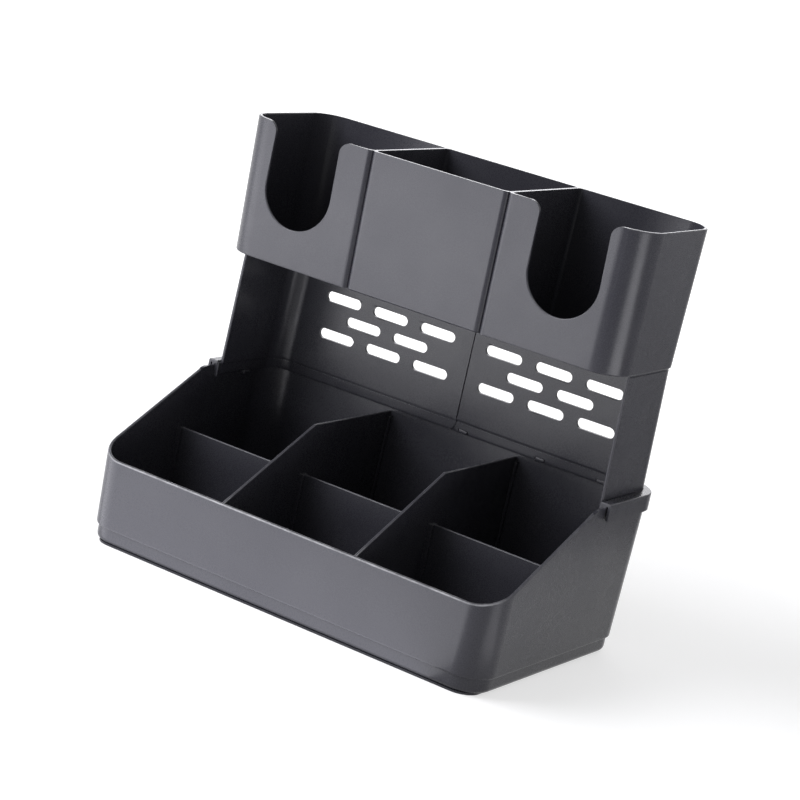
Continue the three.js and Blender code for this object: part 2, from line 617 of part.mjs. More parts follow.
function cupBin() {
  const floorTop = BIN_BOTTOM + BIN_SOCKET + BIN_FLOOR;
  const outline = plan(
    BIN_HALF_WIDTH, BIN_FRONT, BIN_BACK, BIN_FRONT_RADIUS, BIN_BACK_RADIUS, grooves());
  const socket = plan(
    BIN_HALF_WIDTH - WALL, BIN_FRONT + GROOVE_DEPTH + WALL, BIN_BACK - WALL,
    BIN_FRONT_RADIUS - WALL, BIN_BACK_RADIUS - WALL);
  const front = BIN_FRONT + WALL;
  const back = BIN_BACK - WALL;
  const sideCell = rectangle(
    BIN_DIVIDER_X + BIN_DIVIDER / 2, BIN_HALF_WIDTH - WALL, front, back,
    [BIN_DIVIDER_FRONT_RADIUS, BIN_FRONT_RADIUS - WALL, BIN_BACK_RADIUS - WALL, BIN_DIVIDER_BACK_RADIUS]);
  const middleCell = plan(
    BIN_DIVIDER_X - BIN_DIVIDER / 2, front, back, BIN_DIVIDER_FRONT_RADIUS, BIN_DIVIDER_BACK_RADIUS);
  const hollow = (shape) => solid(lean(upright(shape, floorTop, BIN_RIM + OVERCUT), binDraft));
  const right = joined(hollow(sideCell), cupSlot());
  const key = binKey();
  return solid(lean(upright(outline, BIN_BOTTOM, BIN_RIM), binDraft))
    .subtract(solid(lean(upright(socket, BIN_BOTTOM - OVERCUT, BIN_BOTTOM + BIN_SOCKET), binDraft)))
    .subtract(joined(right, mirrored(right), hollow(middleCell)))
    .add(joined(key, mirrored(key)));
}

const caddy = new THREE.Group();

caddy.add(part("base_tray", baseTray(), plastic));

const back = panelShell();
caddy.add(part("left_back_panel", back.intersect(seamSide(true)).subtract(seamCorner()), plastic));
caddy.add(part("right_back_panel", back.intersect(seamSide(false)), plastic));

caddy.add(part("cup_bin", cupBin(), plastic));

for (const [name, x] of [["left_long_divider", -LONG_DIVIDER_X], ["right_long_divider", LONG_DIVIDER_X]]) {
  const divider = part(name, longDivider(), plastic);
  divider.position.x = x;
  caddy.add(divider);
}

caddy.add(part("left_cross_divider", mirrored(sideCrossDivider()), plastic));
caddy.add(part("middle_cross_divider", middleCrossDivider(), plastic));
caddy.add(part("right_cross_divider", sideCrossDivider(), plastic));

export default caddy;
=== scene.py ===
"""Finish, light and camera for a countertop drinks caddy of moulded charcoal plastic.

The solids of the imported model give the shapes. Each one is copied into a piece whose edges are
rounded as a mould rounds them, and the piece takes the place of its solid. The back panels also
get fine slopes along their feet and a groove under the bin.
"""

import json
import math

import bmesh
import bpy
from bpy.props import (
    FloatProperty,
    FloatVectorProperty,
    IntProperty,
    PointerProperty,
)
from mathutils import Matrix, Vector

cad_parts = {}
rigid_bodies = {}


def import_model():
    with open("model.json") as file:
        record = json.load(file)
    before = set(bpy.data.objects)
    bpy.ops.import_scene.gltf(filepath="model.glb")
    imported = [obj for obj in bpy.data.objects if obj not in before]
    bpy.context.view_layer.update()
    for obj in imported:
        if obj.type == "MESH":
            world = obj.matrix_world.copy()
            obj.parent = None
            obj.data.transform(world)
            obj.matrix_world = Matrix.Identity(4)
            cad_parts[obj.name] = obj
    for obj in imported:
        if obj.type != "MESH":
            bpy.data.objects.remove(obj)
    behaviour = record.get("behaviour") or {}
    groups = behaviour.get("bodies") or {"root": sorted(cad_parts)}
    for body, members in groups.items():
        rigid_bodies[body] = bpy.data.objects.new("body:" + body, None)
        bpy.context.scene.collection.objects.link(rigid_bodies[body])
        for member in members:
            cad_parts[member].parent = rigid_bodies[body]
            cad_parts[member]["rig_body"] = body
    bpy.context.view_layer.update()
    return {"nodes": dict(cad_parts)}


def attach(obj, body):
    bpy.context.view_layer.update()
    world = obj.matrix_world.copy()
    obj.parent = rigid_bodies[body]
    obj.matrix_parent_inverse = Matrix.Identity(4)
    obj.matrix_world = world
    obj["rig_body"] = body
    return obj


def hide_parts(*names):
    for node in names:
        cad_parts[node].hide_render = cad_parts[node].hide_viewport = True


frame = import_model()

bl_info = {
    "name": "Countertop drinks caddy",
    "version": (1, 0, 0),
    "blender": (4, 5, 0),
    "location": "3D View > Sidebar > Caddy",
    "description": "Rounds, finishes and lights a moulded caddy for cups, sachets and napkins",
    "category": "Object",
}

PLASTIC_NAME = "moulded_charcoal_plastic"
RIM_LAYER = "rounded_rim"
UP = (0.0, 0.0, 1.0)
FORWARD = (0.0, -1.0, 0.0)
WHITE = (1.0, 1.0, 1.0, 1.0)

# Places on the solids, in metres
STEP_HEIGHT = 0.0109  # lower edge of the tray's wall, above the foot
TONGUE_BOTTOM = 0.1007  # lower edge of the back panels
TONGUE_TOP = 0.1080  # edge over the recessed inner side of the panels' tongues
BIN_FOOT_HEIGHT = 0.1897  # lower edge of the bin
FRONT_RIM_PLACE = 0.0925  # from the middle of the caddy forward to the front rim

# Limits for reading and cutting the meshes, in metres where they are lengths
WELD_DISTANCE = 1e-6
FLAT_ANGLE = math.radians(0.5)  # faces that turn less than this become one
ROUNDED_ANGLE = math.radians(24)  # edges sharper than this can be rounded
CREASE_ANGLE = math.radians(32)  # edges sharper than this are shaded as creases
ROOM_IN_RADII = 2.4  # room that a rounding needs on both of its faces
END_GAP_SHARE = 0.5  # part of a gap beyond an edge's ends that counts as room
UPRIGHT_SHARE = 0.9  # least rise of an upright edge, as a part of its length
LONG_EDGE = 0.0222  # shorter upright edges get no fine rounding
LEVEL_REACH = 0.0002  # how far a level edge may lie from its height
LEVEL_FACING = 0.9  # least upright part of a level face's normal
WALL_FACING = 0.2  # largest upright part of a wall's normal
SHORTEST_SLOPE = 0.0016  # shorter edges keep their place when a foot is sloped
LEDGE_RISE = 0.0006  # height of the sloping ledge below the groove
FRONT_FACING = 0.1  # walls that look further to the front than this get no groove
MANY_CORNERS = 30  # faces with this many corners or more stay whole
FLAT_WITHIN = 0.00005  # how far a corner may lie off the plane of its face

# Patterns in the plastic: cells per metre, detail and roughness of each noise
FLOW_NOISE = (14.0, 3.0, 0.5)
# The next noise breaks the painted rim highlight and rubbed wear into patches
RIM_BREAKUP_NOISE = (90.0, 4.0, 0.65)
SMUDGE_NOISE = (32.0, 4.0, 0.6)
GRAIN_NOISE = (2.0, 0.6)  # detail and roughness only

# How a value is spread: its lowest and highest, and what they become
FLOW_SPREAD = (0.35, 0.65, 0.0, 1.0)
RIM_BREAKUP_SPREAD = (0.35, 0.7, 0.35, 1.0)
# The next two keep the painted rim highlight and rubbed wear to rims that look up, fullest at the
# front rim and a quarter as strong elsewhere
TURNED_UP_SPREAD = (0.05, 0.4, 0.0, 1.0)
FRONT_RIM_SPREAD = (FRONT_RIM_PLACE - 0.012, FRONT_RIM_PLACE, 0.25, 1.0)
SMUDGE_SPREAD = (0.3, 0.7, 0.9, 1.1)
GRAIN_RANGE = (0.3, 0.7)
SATIN_SPREAD = 0.05  # how far the grain moves the roughness up and down
GLOW_DISTANCES = (0.35, 1.2)  # from the object, where the floor's glow grows to full white
NEAR_SPREAD = (0.40, 0.90, 1.0, 0.15)  # the glow towards the camera, by distance
LOW_SKY_SPREAD = (0.25, 0.42, 1.0, 0.0)  # the white band over the horizon, by height
BEHIND_SPREAD = (-0.2, 0.3, 0.1, 1.0)  # and from the camera's side to the far side

# The stage, in metres and degrees
CAMERA_SIDE = -60.6
FLOOR_RADIUS = 9.0
FLOOR_SIDES = 96
MATT_ROUGHNESS = 0.9
SIDE_CARD_PLACE = (0.25, 0.295, 0.18)
SIDE_CARD_TURN = -66.5
SIDE_CARD_SIZE = (0.578, 0.36)
COOL_WHITE = (0.955, 0.955, 1.0)
SENSOR_MILLIMETRES = 36.0
VIEW_DISTANCES = (0.05, 50.0)


class CaddyEdges(bpy.types.PropertyGroup):
    """Roundings, slopes and grooves that the mould gives the pieces."""

    rim_radius: FloatProperty(
        name="Rim rounding",
        description="Radius along the rims and outside edges",
        default=0.0008,
        min=0.0001,
        max=0.0009,
        subtype="DISTANCE",
        unit="LENGTH",
    )
    plate_radius: FloatProperty(
        name="Plate rounding",
        description="Radius along the edges of the divider plates",
        default=0.0006,
        min=0.0001,
        max=0.0009,
        subtype="DISTANCE",
        unit="LENGTH",
    )
    step_radius: FloatProperty(
        name="Step rounding",
        description="Radius of the tray wall's lower edge, above the foot",
        default=0.0015,
        min=0.0001,
        max=0.0017,
        subtype="DISTANCE",
        unit="LENGTH",
    )
    bin_foot_radius: FloatProperty(
        name="Bin foot rounding",
        description="Radius of the bin's lower outside edge",
        default=0.0010,
        min=0.0001,
        max=0.0012,
        subtype="DISTANCE",
        unit="LENGTH",
    )
    fine_radius: FloatProperty(
        name="Fine rounding",
        description="Radius along the thin edges of the back panels, such as those of their seam",
        default=0.0005,
        min=0.0001,
        max=0.0006,
        subtype="DISTANCE",
        unit="LENGTH",
    )
    slope_rise: FloatProperty(
        name="Foot slope height",
        description="Height of the slopes along the lower inside edges of the back panels",
        default=0.0015,
        min=0.0002,
        max=0.0020,
        subtype="DISTANCE",
        unit="LENGTH",
    )
    slope_depth: FloatProperty(
        name="Foot slope depth",
        description="How far those slopes run back into the wall",
        default=0.00045,
        min=0.0001,
        max=0.0005,
        subtype="DISTANCE",
        unit="LENGTH",
    )
    groove_rise: FloatProperty(
        name="Groove height",
        description="Height of the groove around the back panels, just under the bin",
        default=0.0019,
        min=0.0010,
        max=0.0030,
        subtype="DISTANCE",
        unit="LENGTH",
    )
    groove_depth: FloatProperty(
        name="Groove depth",
        description="How far that groove runs back into the wall",
        default=0.0005,
        min=0.0001,
        max=0.0005,
        subtype="DISTANCE",
        unit="LENGTH",
    )
    steps: IntProperty(
        name="Rounding steps",
        description="Faces across one rounded edge",
        default=3,
        min=1,
        max=6,
    )


class CaddyFinish(bpy.types.PropertyGroup):
    """The moulded plastic."""

    colour: FloatVectorProperty(
        name="Plastic",
        description="Colour of the plastic",
        default=(0.029, 0.029, 0.036),
        min=0.0,
        max=1.0,
        size=3,
        subtype="COLOR",
    )
    pale_colour: FloatVectorProperty(
        name="Flow marks",
        description="Slightly paler colour where the plastic flowed",
        default=(0.035, 0.035, 0.042),
        min=0.0,
        max=1.0,
        size=3,
        subtype="COLOR",
    )
    # Painted highlight with rubbed wear on the up-facing rims: far paler than the plastic, so the
    # rims read as lit lines
    wear_and_highlight_colour: FloatVectorProperty(
        name="Worn edges",
        description="Colour of edges that hands have rubbed",
        default=(0.300, 0.300, 0.310),
        min=0.0,
        max=1.0,
        size=3,
        subtype="COLOR",
    )
    roughness: FloatProperty(
        name="Satin",
        description="Mean roughness of the textured mould face",
        default=0.28,
        min=0.05,
        max=1.0,
        subtype="FACTOR",
    )
    refraction: FloatProperty(
        name="Refractive index",
        description="Refractive index of the plastic, which sets how strongly it mirrors",
        default=1.35,
        min=1.0,
        max=2.0,
    )
    grain_size: FloatProperty(
        name="Grain size",
        description="Size of one grain of the mould texture",
        default=0.0006,
        min=0.0001,
        max=0.01,
        subtype="DISTANCE",
        unit="LENGTH",
    )
    grain_depth: FloatProperty(
        name="Grain depth",
        description="Depth of the mould texture",
        default=0.00003,
        min=0.0,
        max=0.001,
        subtype="DISTANCE",
        unit="LENGTH",
    )


class CaddyStudio(bpy.types.PropertyGroup):
    """Floor, lamps and camera."""

    floor_colour: FloatVectorProperty(
        name="Floor",
        description="Colour of the floor",
        default=(0.45, 0.45, 0.45),
        min=0.0,
        max=1.0,
        size=3,
        subtype="COLOR",
    )
    floor_glow: FloatProperty(
        name="Floor whiteness",
        description="White that the floor adds beside the object, seen or mirrored",
        default=0.62,
        min=0.0,
        max=1.0,
    )
    side_card: FloatVectorProperty(
        name="Side card",
        description="Colour of the card that stands at the right, where the sides mirror it",
        default=(0.5, 0.5, 0.5),
        min=0.0,
        max=1.0,
        size=3,
        subtype="COLOR",
    )
    room_light: FloatProperty(
        name="Room light",
        description="Strength of the light from the room overhead",
        default=0.40,
        min=0.0,
        max=1.0,
    )
    key_power: FloatProperty(
        name="Key lamp",
        description="Power of the soft lamp high at the front left",
        default=32.0,
        min=0.0,
        subtype="POWER",
        unit="POWER",
    )
    far_power: FloatProperty(
        name="Far low lamp",
        description="Power of the wide lamp that lies away at the front left",
        default=19.5,
        min=0.0,
        subtype="POWER",
        unit="POWER",
    )
    near_power: FloatProperty(
        name="Near low lamp",
        description="Power of the narrow lamp that lies along the front",
        default=0.84,
        min=0.0,
        subtype="POWER",
        unit="POWER",
    )
    side_power: FloatProperty(
        name="Side lamp",
        description="Power of the small lamp that lies at the right",
        default=4.9,
        min=0.0,
        subtype="POWER",
        unit="POWER",
    )
    corner_power: FloatProperty(
        name="Corner lamp",
        description="Power of the small lamp that lies beside the right front corner",
        default=0.06,
        min=0.0,
        subtype="POWER",
        unit="POWER",
    )
    back_power: FloatProperty(
        name="Back lamp",
        description="Power of the long lamp low behind the object",
        default=7.0,
        min=0.0,
        subtype="POWER",
        unit="POWER",
    )
    camera_place: FloatVectorProperty(
        name="Camera place",
        description="Where the camera stands",
        default=(0.82269, -1.45946, 0.53267),
        size=3,
        subtype="TRANSLATION",
        unit="LENGTH",
    )
    camera_turn: FloatVectorProperty(
        name="Camera turn",
        description="How the camera is turned",
        default=(
            math.radians(79.6758),
            math.radians(-11.5272),
            math.radians(34.3653),
        ),
        size=3,
        subtype="EULER",
    )
    camera_lens: FloatProperty(
        name="Lens",
        description="Focal length in millimetres on a 36 mm sensor",
        default=121.488,
        min=20.0,
        max=400.0,
        subtype="DISTANCE_CAMERA",
    )
    camera_shift: FloatVectorProperty(
        name="Lens shift",
        description="How far the picture is taken from beside the lens axis, in picture widths",
        default=(0.13125, -0.23),
        size=2,
    )


def shader_node(tree, kind, **values):
    """One node of a shader tree, with its settings."""
    node = tree.nodes.new(kind)
    for name, value in values.items():
        setattr(node, name, value)
    return node


def noise(tree, place, scale, detail, roughness):
    """A noise pattern fixed to the piece, with scale in cells per metre."""
    node = shader_node(tree, "ShaderNodeTexNoise")
    node.inputs["Scale"].default_value = scale
    node.inputs["Detail"].default_value = detail
    node.inputs["Roughness"].default_value = roughness
    tree.links.new(place.outputs["Object"], node.inputs["Vector"])
    return node


def spread(tree, source, low, high, out_low, out_high):
    """Maps a pattern's range of values to another range."""
    node = shader_node(tree, "ShaderNodeMapRange")
    node.inputs["From Min"].default_value = low
    node.inputs["From Max"].default_value = high
    node.inputs["To Min"].default_value = out_low
    node.inputs["To Max"].default_value = out_high
    tree.links.new(source, node.inputs["Value"])
    return node.outputs["Result"]


def product(tree, first, second):
    """The product of two values."""
    node = shader_node(tree, "ShaderNodeMath", operation="MULTIPLY")
    tree.links.new(first, node.inputs[0])
    tree.links.new(second, node.inputs[1])
    return node.outputs["Value"]


def along(tree, place, direction):
    """How far a place lies along a direction."""
    node = shader_node(tree, "ShaderNodeVectorMath", operation="DOT_PRODUCT")
    node.inputs[1].default_value = direction
    tree.links.new(place, node.inputs[0])
    return node.outputs["Value"]


def plastic_material(finish):
    """Charcoal plastic from a finely textured mould, with rubbed wear and a painted highlight
    along its up-facing rims.
    """
    made = bpy.data.materials.get(PLASTIC_NAME)
    if made:
        return made
    made = bpy.data.materials.new(PLASTIC_NAME)
    made.use_nodes = True
    tree = made.node_tree
    shader = tree.nodes["Principled BSDF"]
    shader.inputs["IOR"].default_value = finish.refraction
    place = shader_node(tree, "ShaderNodeTexCoord")

    flow = noise(tree, place, *FLOW_NOISE)
    flow_share = spread(tree, flow.outputs["Fac"], *FLOW_SPREAD)
    body = shader_node(tree, "ShaderNodeMix", data_type="RGBA")
    body.inputs["A"].default_value = (*finish.colour, 1.0)
    body.inputs["B"].default_value = (*finish.pale_colour, 1.0)
    tree.links.new(flow_share, body.inputs["Factor"])

    # Painted highlight with rubbed wear: rounded rim faces that look up, fullest along the front
    # rim, turn in patches to a far paler colour that stands in for the light the rims catch
    rim = shader_node(tree, "ShaderNodeAttribute", attribute_name=RIM_LAYER)
    rim_breakup = noise(tree, place, *RIM_BREAKUP_NOISE)
    rim_breakup_share = spread(tree, rim_breakup.outputs["Fac"], *RIM_BREAKUP_SPREAD)
    facing = shader_node(tree, "ShaderNodeNewGeometry").outputs["Normal"]
    turned_up = spread(tree, along(tree, facing, UP), *TURNED_UP_SPREAD)
    forward = along(tree, place.outputs["Object"], FORWARD)
    near_front_rim = spread(tree, forward, *FRONT_RIM_SPREAD)
    up_and_front = product(tree, turned_up, near_front_rim)
    wear_and_highlight = product(tree, product(tree, rim.outputs["Fac"], up_and_front), rim_breakup_share)
    wear_highlight_mix = shader_node(tree, "ShaderNodeMix", data_type="RGBA")
    wear_highlight_mix.inputs["B"].default_value = (*finish.wear_and_highlight_colour, 1.0)
    tree.links.new(body.outputs["Result"], wear_highlight_mix.inputs["A"])
    tree.links.new(wear_and_highlight, wear_highlight_mix.inputs["Factor"])
    tree.links.new(wear_highlight_mix.outputs["Result"], shader.inputs["Base Color"])

    grain = noise(tree, place, 1.0 / finish.grain_size, *GRAIN_NOISE)
    satin = spread(
        tree,
        grain.outputs["Fac"],
        *GRAIN_RANGE,
        finish.roughness - SATIN_SPREAD,
        finish.roughness + SATIN_SPREAD,
    )
    smudge = noise(tree, place, *SMUDGE_NOISE)
    smudge_share = spread(tree, smudge.outputs["Fac"], *SMUDGE_SPREAD)
    tree.links.new(product(tree, satin, smudge_share), shader.inputs["Roughness"])

    bump = shader_node(tree, "ShaderNodeBump")
    bump.inputs["Strength"].default_value = 1.0
    bump.inputs["Distance"].default_value = finish.grain_depth
    tree.links.new(grain.outputs["Fac"], bump.inputs["Height"])
    tree.links.new(bump.outputs["Normal"], shader.inputs["Normal"])
    return made


def room_beside(edge, face):
    """The least distance across a face from an edge to the edges that it doesn't touch."""
    a, b = (v.co for v in edge.verts)
    middle = (a + b) / 2
    direction = (b - a).normalized()
    room = math.inf
    for other in face.edges:
        if other is edge or set(other.verts) & set(edge.verts):
            continue
        p, q = (v.co for v in other.verts)
        length = (q - p).length
        share = (middle - p).dot(q - p) / length**2 if length > 0 else 0.0
        nearest = p.lerp(q, min(1.0, max(0.0, share)))
        gap = nearest - middle
        across = (gap - direction * gap.dot(direction)).length
        room = min(room, max(across, gap.length * END_GAP_SHARE))
    return room


def outward_edges(mesh):
    """The edges that stick out sharply enough to be rounded."""
    return [
        edge
        for edge in mesh.edges
        if len(edge.link_faces) == 2
        and edge.is_convex
        and edge.calc_face_angle() > ROUNDED_ANGLE
    ]


def roomy_edges(mesh, radius):
    """The outward edges with room on both sides for a rounding of this radius."""
    return [
        edge
        for edge in outward_edges(mesh)
        if min(room_beside(edge, face) for face in edge.link_faces) > ROOM_IN_RADII * radius
    ]


def upright_edges(edges):
    """The long edges among these that stand nearly upright."""
    chosen = []
    for edge in edges:
        low, high = sorted(vert.co.z for vert in edge.verts)
        length = edge.calc_length()
        if length > LONG_EDGE and high - low > UPRIGHT_SHARE * length:
            chosen.append(edge)
    return chosen


def level_edges(mesh, height, outside=True, turned=-1):
    """The outward edges that lie flat at a height, between a wall and a level face.

    The wall looks away from the upright axis through the caddy's middle, or else towards it. The
    level face is turned down for -1 and up for 1.
    """
    chosen = []
    for edge in outward_edges(mesh):
        if max(abs(v.co.z - height) for v in edge.verts) > LEVEL_REACH:
            continue
        wall, level = sorted(edge.link_faces, key=lambda face: turned * face.normal.z)
        if turned * level.normal.z <= LEVEL_FACING or abs(wall.normal.z) >= WALL_FACING:
            continue
        middle = (edge.verts[0].co + edge.verts[1].co) / 2
        if (wall.normal.xy.dot(middle.xy) > 0) == outside:
            chosen.append(edge)
    return chosen


def cut_level(mesh, height):
    """Cuts a loop of edges through a mesh at a height."""
    everything = mesh.verts[:] + mesh.edges[:] + mesh.faces[:]
    bmesh.ops.bisect_plane(
        mesh,
        geom=everything,
        dist=WELD_DISTANCE,
        plane_co=(0.0, 0.0, height),
        plane_no=UP,
    )
    mesh.normal_update()


def slide_back(mesh, facing, depth):
    """Slides points back into the walls that they belong to, which face the given ways."""
    if not facing:
        raise RuntimeError("no wall to cut back")
    for vert, way in facing.items():
        vert.co.xy -= way.normalized() * depth
    mesh.normal_update()


def slope_foot(mesh, height, rise, depth):
    """Slopes the foot of an inside wall back into it, towards its lower edge at a height."""
    cut_level(mesh, height + rise)
    facing = {}
    for edge in level_edges(mesh, height, outside=False):
        if edge.calc_length() < SHORTEST_SLOPE:
            continue
        wall = max(edge.link_faces, key=lambda face: face.normal.z)
        for vert in edge.verts:
            facing.setdefault(vert, Vector((0.0, 0.0))).xy += wall.normal.xy
    slide_back(mesh, facing, depth)


def groove_top(mesh, height, rise, depth):
    """Cuts the top of an outside wall back, from a sloping ledge up to its edge at a height.

    The roundings that look to the front, at the ends of the side walls, stay whole.
    """
    cut_level(mesh, height - rise)
    cut_level(mesh, height - rise + LEDGE_RISE)
    facing = {}
    for edge in level_edges(mesh, height, turned=1):
        wall = min(edge.link_faces, key=lambda face: face.normal.z)
        if wall.normal.y < -FRONT_FACING:
            continue
        for vert in wall.verts:
            facing.setdefault(vert, Vector((0.0, 0.0))).xy += wall.normal.xy
    slide_back(mesh, facing, depth)


def split_bent_faces(mesh):
    """Splits the small faces that a cut has bent into even triangles."""
    bent = []
    for face in mesh.faces:
        if not 4 < len(face.verts) < MANY_CORNERS:
            continue
        middle = face.calc_center_median()
        offsets = [abs((vert.co - middle).dot(face.normal)) for vert in face.verts]
        if max(offsets) > FLAT_WITHIN:
            bent.append(face)
    bmesh.ops.triangulate(mesh, faces=bent, quad_method="BEAUTY", ngon_method="BEAUTY")
    mesh.normal_update()


def round_off(mesh, edges, radius, steps, rim):
    """Rounds edges and marks the new faces for rubbed wear and a painted highlight."""
    rounded = bmesh.ops.bevel(
        mesh,
        geom=edges,
        offset=radius,
        offset_type="OFFSET",
        profile_type="SUPERELLIPSE",
        profile=0.5,
        segments=steps,
        affect="EDGES",
        clamp_overlap=False,
        loop_slide=True,
        material=-1,
    )
    for face in rounded["faces"]:
        face[rim] = 1.0


def moulded_piece(
    node_name,
    piece_name,
    radius,
    steps,
    finish,
    low_edge=None,
    slope=None,
    groove=None,
    fine=None,
):
    """A piece with the shape of a solid and rounded edges, in the place of that solid.

    `low_edge` is the height of a lower outside edge and the larger radius that it gets. `slope`
    is the rise and depth of the slopes along a panel's foot, `groove` those of the groove under
    the bin, and `fine` the radius of long upright edges that are too thin for `radius`.
    """
    solid = frame["nodes"][node_name]
    mesh = bmesh.new()
    mesh.from_mesh(solid.data)
    bmesh.ops.remove_doubles(mesh, verts=mesh.verts[:], dist=WELD_DISTANCE)
    bmesh.ops.dissolve_limit(
        mesh, angle_limit=FLAT_ANGLE, verts=mesh.verts[:], edges=mesh.edges[:]
    )
    rim = mesh.faces.layers.float.new(RIM_LAYER)
    if low_edge:
        height, low_radius = low_edge
        edges = level_edges(mesh, height)
        if not edges:
            raise RuntimeError(f"{node_name} has no lower edge at {height} m")
        round_off(mesh, edges, low_radius, steps, rim)
    edges = roomy_edges(mesh, radius)
    if not edges:
        raise RuntimeError(f"{node_name} has no edge to round")
    round_off(mesh, edges, radius, steps, rim)
    if fine:
        round_off(mesh, upright_edges(roomy_edges(mesh, fine)), fine, steps, rim)
    if slope:
        slope_foot(mesh, TONGUE_BOTTOM, *slope)
        slope_foot(mesh, TONGUE_TOP, *slope)
    if groove:
        groove_top(mesh, BIN_FOOT_HEIGHT, *groove)
    split_bent_faces(mesh)
    for face in mesh.faces:
        face.smooth = True
    for edge in mesh.edges:
        folded = len(edge.link_faces) == 2 and edge.calc_face_angle() > CREASE_ANGLE
        edge.smooth = not folded
    data = bpy.data.meshes.new(piece_name)
    mesh.to_mesh(data)
    mesh.free()
    data.materials.append(plastic_material(finish))
    piece = bpy.data.objects.new(piece_name, data)
    bpy.context.scene.collection.objects.link(piece)
    normals = piece.modifiers.new("even_light_on_flats", "WEIGHTED_NORMAL")
    normals.keep_sharp = True
    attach(piece, solid["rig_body"])
    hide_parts(node_name)
    return piece


class CADDY_OT_tray(bpy.types.Operator):
    """Makes the base tray with its foot, step, wings and collar."""

    bl_idname = "caddy.tray"
    bl_label = "Base tray"

    def execute(self, context):
        edges = context.scene.caddy_edges
        finish = context.scene.caddy_finish
        moulded_piece(
            "base_tray",
            "tray_moulding",
            edges.rim_radius,
            edges.steps,
            finish,
            (STEP_HEIGHT, edges.step_radius),
        )
        return {"FINISHED"}


class CADDY_OT_back_panels(bpy.types.Operator):
    """Makes the two halves of the slotted back that stands on the tray."""

    bl_idname = "caddy.back_panels"
    bl_label = "Back panels"

    def execute(self, context):
        edges = context.scene.caddy_edges
        finish = context.scene.caddy_finish
        for side in ("left", "right"):
            moulded_piece(
                f"{side}_back_panel",
                f"{side}_back_moulding",
                edges.rim_radius,
                edges.steps,
                finish,
                slope=(edges.slope_rise, edges.slope_depth),
                groove=(edges.groove_rise, edges.groove_depth),
                fine=edges.fine_radius,
            )
        return {"FINISHED"}


class CADDY_OT_cup_bin(bpy.types.Operator):
    """Makes the cup bin with its three cells and its front openings."""

    bl_idname = "caddy.cup_bin"
    bl_label = "Cup bin"

    def execute(self, context):
        edges = context.scene.caddy_edges
        finish = context.scene.caddy_finish
        moulded_piece(
            "cup_bin",
            "bin_moulding",
            edges.rim_radius,
            edges.steps,
            finish,
            (BIN_FOOT_HEIGHT, edges.bin_foot_radius),
        )
        return {"FINISHED"}


class CADDY_OT_long_dividers(bpy.types.Operator):
    """Makes the two divider plates that run from front to back."""

    bl_idname = "caddy.long_dividers"
    bl_label = "Long dividers"

    def execute(self, context):
        edges = context.scene.caddy_edges
        finish = context.scene.caddy_finish
        for side in ("left", "right"):
            moulded_piece(
                f"{side}_long_divider",
                f"{side}_long_plate",
                edges.plate_radius,
                edges.steps,
                finish,
            )
        return {"FINISHED"}


class CADDY_OT_cross_dividers(bpy.types.Operator):
    """Makes the three lift-out divider plates that run from side to side."""

    bl_idname = "caddy.cross_dividers"
    bl_label = "Cross dividers"

    def execute(self, context):
        edges = context.scene.caddy_edges
        finish = context.scene.caddy_finish
        for side in ("left", "middle", "right"):
            moulded_piece(
                f"{side}_cross_divider",
                f"{side}_cross_plate",
                edges.plate_radius,
                edges.steps,
                finish,
            )
        return {"FINISHED"}


def seen_directly(tree):
    """1 for a camera ray, a mirrored ray or a ray through glass, and 0 for light on a surface."""
    path = shader_node(tree, "ShaderNodeLightPath")
    first = shader_node(tree, "ShaderNodeMath", operation="MAXIMUM")
    tree.links.new(path.outputs["Is Camera Ray"], first.inputs[0])
    tree.links.new(path.outputs["Is Glossy Ray"], first.inputs[1])
    second = shader_node(tree, "ShaderNodeMath", operation="MAXIMUM")
    tree.links.new(first.outputs["Value"], second.inputs[0])
    tree.links.new(path.outputs["Is Transmission Ray"], second.inputs[1])
    return second.outputs["Value"]


def around(azimuth, distance, height):
    """A point at a compass angle from the object, in degrees from +X towards +Y."""
    turn = math.radians(azimuth)
    return (distance * math.cos(turn), distance * math.sin(turn), height)


def floor_material(studio):
    """A matt pale floor that looks white and still takes a shadow."""
    made = bpy.data.materials.new("pale_floor")
    made.use_nodes = True
    tree = made.node_tree
    shader = tree.nodes["Principled BSDF"]
    shader.inputs["Base Color"].default_value = (*studio.floor_colour, 1.0)
    shader.inputs["Roughness"].default_value = MATT_ROUGHNESS
    shader.inputs["Specular IOR Level"].default_value = 0.0
    shader.inputs["Emission Color"].default_value = WHITE
    place = shader_node(tree, "ShaderNodeTexCoord").outputs["Object"]
    away = shader_node(tree, "ShaderNodeVectorMath", operation="LENGTH")
    tree.links.new(place, away.inputs[0])
    glow = spread(tree, away.outputs["Value"], *GLOW_DISTANCES, studio.floor_glow, 1.0)
    forward = along(tree, place, around(CAMERA_SIDE, 1.0, 0.0))
    near = spread(tree, forward, *NEAR_SPREAD)
    shown = product(tree, seen_directly(tree), product(tree, glow, near))
    tree.links.new(shown, shader.inputs["Emission Strength"])
    return made


def upright_card(name, colour, place, turn, size):
    """A matt card that stands unseen beside the object, which mirrors it."""
    made = bpy.data.materials.new(name)
    made.use_nodes = True
    shader = made.node_tree.nodes["Principled BSDF"]
    shader.inputs["Base Color"].default_value = (*colour, 1.0)
    shader.inputs["Roughness"].default_value = MATT_ROUGHNESS
    shader.inputs["Specular IOR Level"].default_value = 0.0
    sheet = bmesh.new()
    bmesh.ops.create_grid(sheet, x_segments=1, y_segments=1, size=0.5)
    data = bpy.data.meshes.new(name)
    sheet.to_mesh(data)
    sheet.free()
    data.materials.append(made)
    card = bpy.data.objects.new(name, data)
    card.scale = (*size, 1.0)
    card.location = place
    card.rotation_euler = (math.radians(90), 0.0, math.radians(turn))
    card.visible_camera = False
    bpy.context.scene.collection.objects.link(card)
    return card


